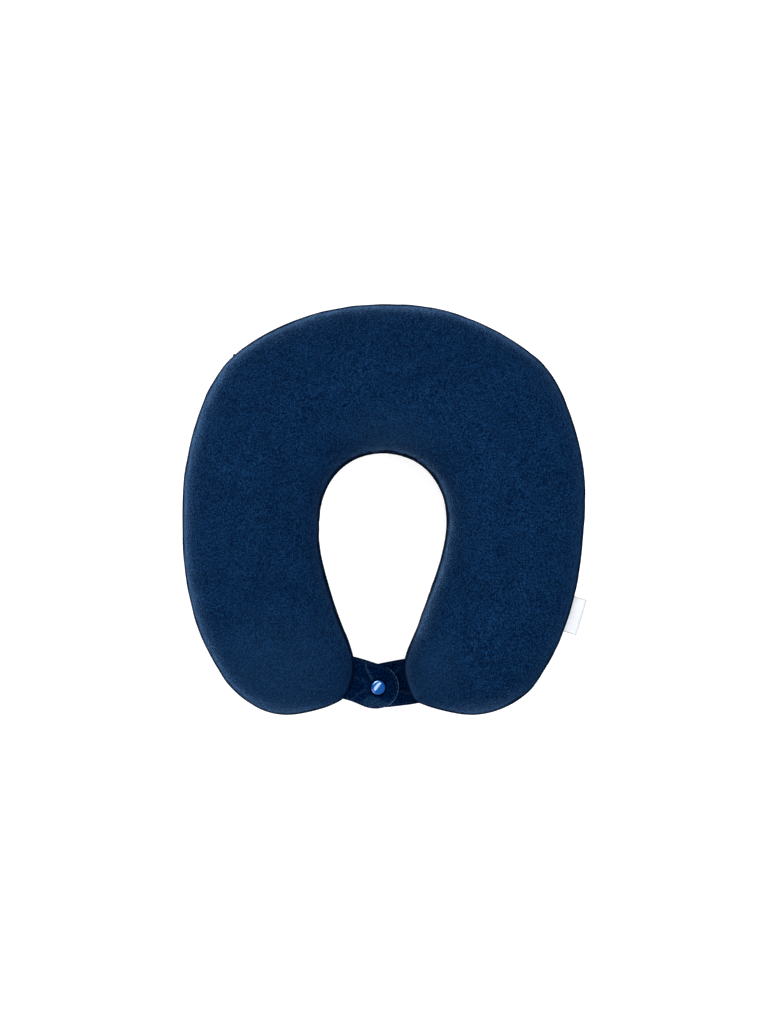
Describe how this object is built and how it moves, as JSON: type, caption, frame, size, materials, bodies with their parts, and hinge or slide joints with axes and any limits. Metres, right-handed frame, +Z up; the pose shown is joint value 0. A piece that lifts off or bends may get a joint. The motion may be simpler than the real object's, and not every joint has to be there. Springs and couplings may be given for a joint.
{
  "type": "u shaped neck pillow",
  "caption": "U-shaped travel neck pillow: foam core in a zipped velour cover, with flexing arms and overlapping tabs that fasten across the mouth with a press snap.",
  "frame": {"origin": "centre of the bounding box at the level of the underside, which is the plane z = 0 the pillow rests on", "axes": "+Z up through the pillow's thickness; +Y from the open mouth towards the middle of the back; +X towards the arm that carries the side label and the lower tab"},
  "size_m": [0.301, 0.307, 0.09],
  "materials": {
    "foam": "matte",
    "velour": "matte",
    "tab_velour": "matte",
    "zip_tape": "matte",
    "zip_coil": "satin",
    "zip_metal": "satin",
    "snap_enamel": "gloss",
    "snap_metal": "satin",
    "woven_label": "matte"
  },
  "bodies": {
    "back": {"foam_core_back": "foam", "cover_top_back": "velour", "cover_bottom_back": "velour", "zip_tape_upper": "zip_tape", "zip_tape_lower": "zip_tape", "zip_coil_upper": "zip_coil", "zip_coil_lower": "zip_coil"},
    "left_arm": {"foam_core_left": "foam", "cover_top_left": "velour", "cover_bottom_left": "velour"},
    "right_arm": {"foam_core_right": "foam", "cover_top_right": "velour", "cover_bottom_right": "velour"},
    "upper_tab": {"tab_upper_face": "tab_velour", "tab_upper_lining": "tab_velour", "snap_cap": "snap_enamel", "snap_socket": "snap_metal"},
    "lower_tab": {"tab_lower_face": "tab_velour", "tab_lower_lining": "tab_velour", "snap_stud": "snap_metal", "snap_rivet": "snap_metal"},
    "slider": {"zip_slider": "zip_metal"},
    "pull": {"zip_pull": "zip_metal"},
    "label": {"side_label": "woven_label"}
  },
  "joints": [
    {"name": "left_arm_spread", "type": "hinge", "parent": "back", "child": "left_arm", "pos_m": [-0.14697, 0.04949, 0.045], "axis": [0, 0, -1], "range_deg": [0, 15], "stiffness_Nm_per_rad": 2},
    {"name": "right_arm_spread", "type": "hinge", "parent": "back", "child": "right_arm", "pos_m": [0.14697, 0.04949, 0.045], "axis": [0, 0, 1], "range_deg": [0, 15], "stiffness_Nm_per_rad": 2},
    {"name": "upper_tab_lift", "type": "hinge", "parent": "left_arm", "child": "upper_tab", "pos_m": [-0.02322, -0.12751, 0.049], "axis": [-0.2419, -0.9703, 0], "range_deg": [-5, 80], "stiffness_Nm_per_rad": 0.003},
    {"name": "lower_tab_drop", "type": "hinge", "parent": "right_arm", "child": "lower_tab", "pos_m": [0.01554, -0.12832, 0.041], "axis": [0.1994, -0.9799, 0], "range_deg": [0, 60], "stiffness_Nm_per_rad": 0.003},
    {"name": "zip_run", "type": "hinge", "parent": "back", "child": "slider", "pos_m": [0, -0.0325, 0.045], "axis": [0, 0, -1], "range_deg": [0, 72]},
    {"name": "pull_swing", "type": "hinge", "parent": "slider", "child": "pull", "pos_m": [-0.1116, 0.11618, 0.045], "axis": [0, 0, 1], "range_deg": [0, 150]},
    {"name": "label_flap", "type": "hinge", "parent": "right_arm", "child": "label", "pos_m": [0.13947, -0.08119, 0.045], "axis": [-0.2934, -0.956, 0], "range_deg": [-60, 60], "stiffness_Nm_per_rad": 0.001}
  ]
}
